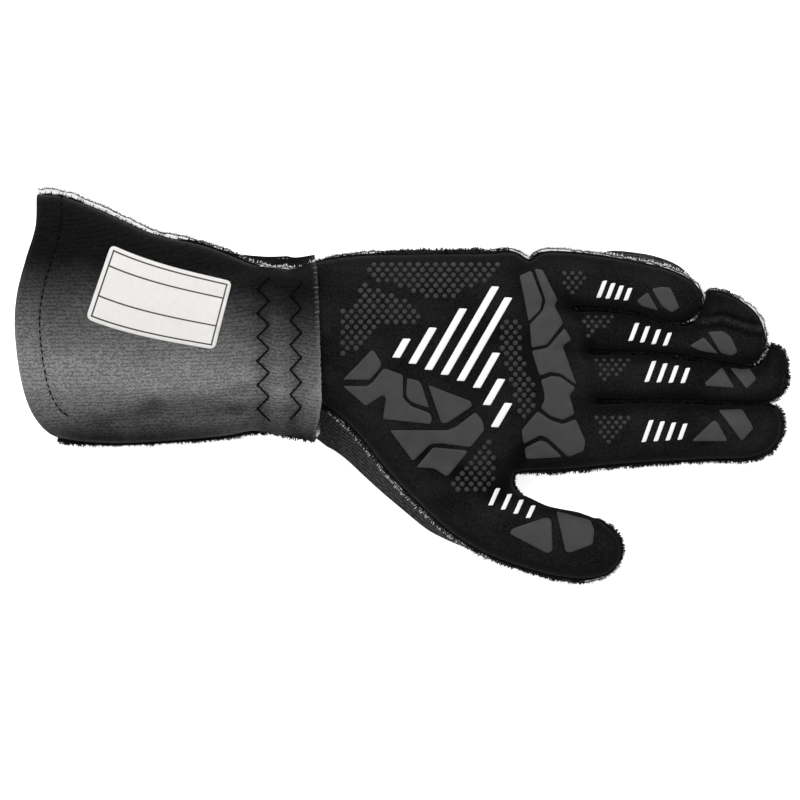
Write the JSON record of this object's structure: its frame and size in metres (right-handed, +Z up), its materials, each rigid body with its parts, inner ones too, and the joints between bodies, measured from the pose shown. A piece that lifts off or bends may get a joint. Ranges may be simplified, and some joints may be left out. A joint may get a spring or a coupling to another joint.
{
  "type": "karting glove",
  "caption": "Right-hand karting glove lying palm up, black suede palm with grey silicone grip pads, external seams and a long grey ribbed stretch cuff.",
  "frame": {"origin": "on the floor under the middle of the glove as it lies palm up", "axes": "+X along the glove from the cuff to the fingertips, +Y to the little finger side, +Z up out of the palm"},
  "size_m": [0.3337, 0.17, 0.0311],
  "materials": {
    "suede": "matt black suede with a short nap",
    "knit": "matt charcoal knit, white on its inner face",
    "cuff_fabric": "matt ribbed stretch fabric, black fading to grey",
    "silicone": "satin moulded silicone",
    "label": "matt white woven patch with a dark frame line",
    "thread": "matt black sewing thread",
    "white_print": "satin white grip print"
  },
  "bodies": {
    "root": {"palm_panel": "suede", "back_panel": "knit", "cuff_palm_panel": "cuff_fabric", "cuff_back_panel": "cuff_fabric", "label_patch": "label", "grip_pad_palm_heel": "silicone", "grip_pad_palm_side": "silicone", "grip_pad_palm_centre": "silicone", "grip_pad_palm_upper": "silicone", "grip_pad_palm_low": "silicone", "grip_pad_palm_thumb": "silicone", "grip_pad_knuckle_1": "silicone", "grip_pad_knuckle_2": "silicone", "grip_pad_knuckle_3": "silicone", "grip_pad_knuckle_4": "silicone", "grip_pad_knuckle_5": "silicone", "grip_pad_knuckle_6": "silicone", "grip_pad_little_finger_1": "silicone", "grip_pad_little_finger_2": "silicone", "grip_pad_ring_finger_1": "silicone", "grip_pad_ring_finger_2": "silicone", "grip_pad_middle_finger_1": "silicone", "grip_pad_middle_finger_2": "silicone", "grip_pad_index_finger_1": "silicone", "grip_pad_index_finger_2": "silicone", "grip_pad_thumb_1": "silicone", "grip_pad_thumb_2": "silicone"}
  },
  "joints": []
}
